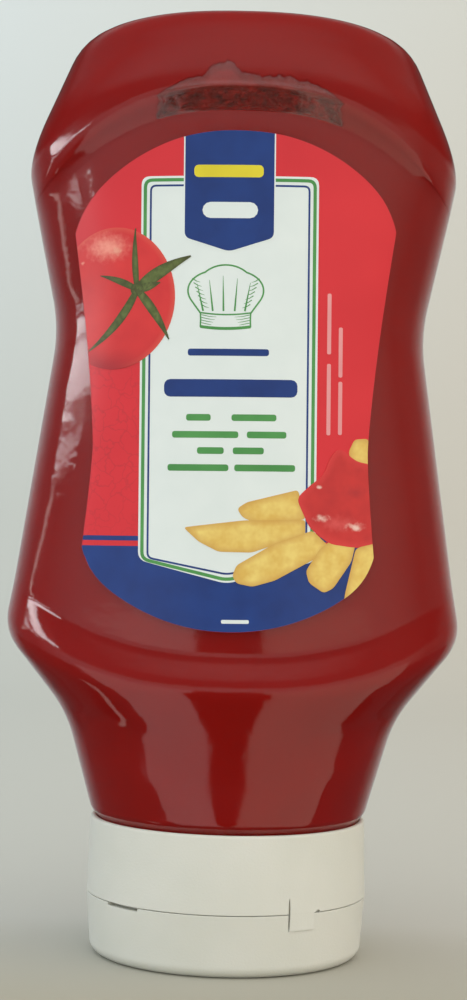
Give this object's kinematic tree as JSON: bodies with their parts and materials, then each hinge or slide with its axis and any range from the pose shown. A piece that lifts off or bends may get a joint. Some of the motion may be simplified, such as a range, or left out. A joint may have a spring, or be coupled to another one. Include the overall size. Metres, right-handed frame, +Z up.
{
  "type": "ketchup bottle",
  "caption": "Clear squeeze bottle of ketchup standing on a white flip-top cap, waisted body, arched belts and printed labels.",
  "frame": {"origin": "middle of the cap's flat underside, which the bottle stands on", "axes": "+Z up along the bottle's axis, -Y out of the front label, X across the bottle's width"},
  "size_m": [0.0894, 0.0588, 0.183],
  "materials": {
    "clear_plastic": "clear glossy moulded plastic",
    "ketchup": "wet, smooth, thick red sauce",
    "label": "satin printed film with fields of red, white and navy",
    "cap_plastic": "fine matte white moulding"
  },
  "bodies": {
    "root": {"bottle": "clear_plastic", "ketchup": "ketchup", "label_front": "label", "label_back": "label", "cap_collar": "cap_plastic", "cap_lid": "cap_plastic"}
  },
  "joints": []
}
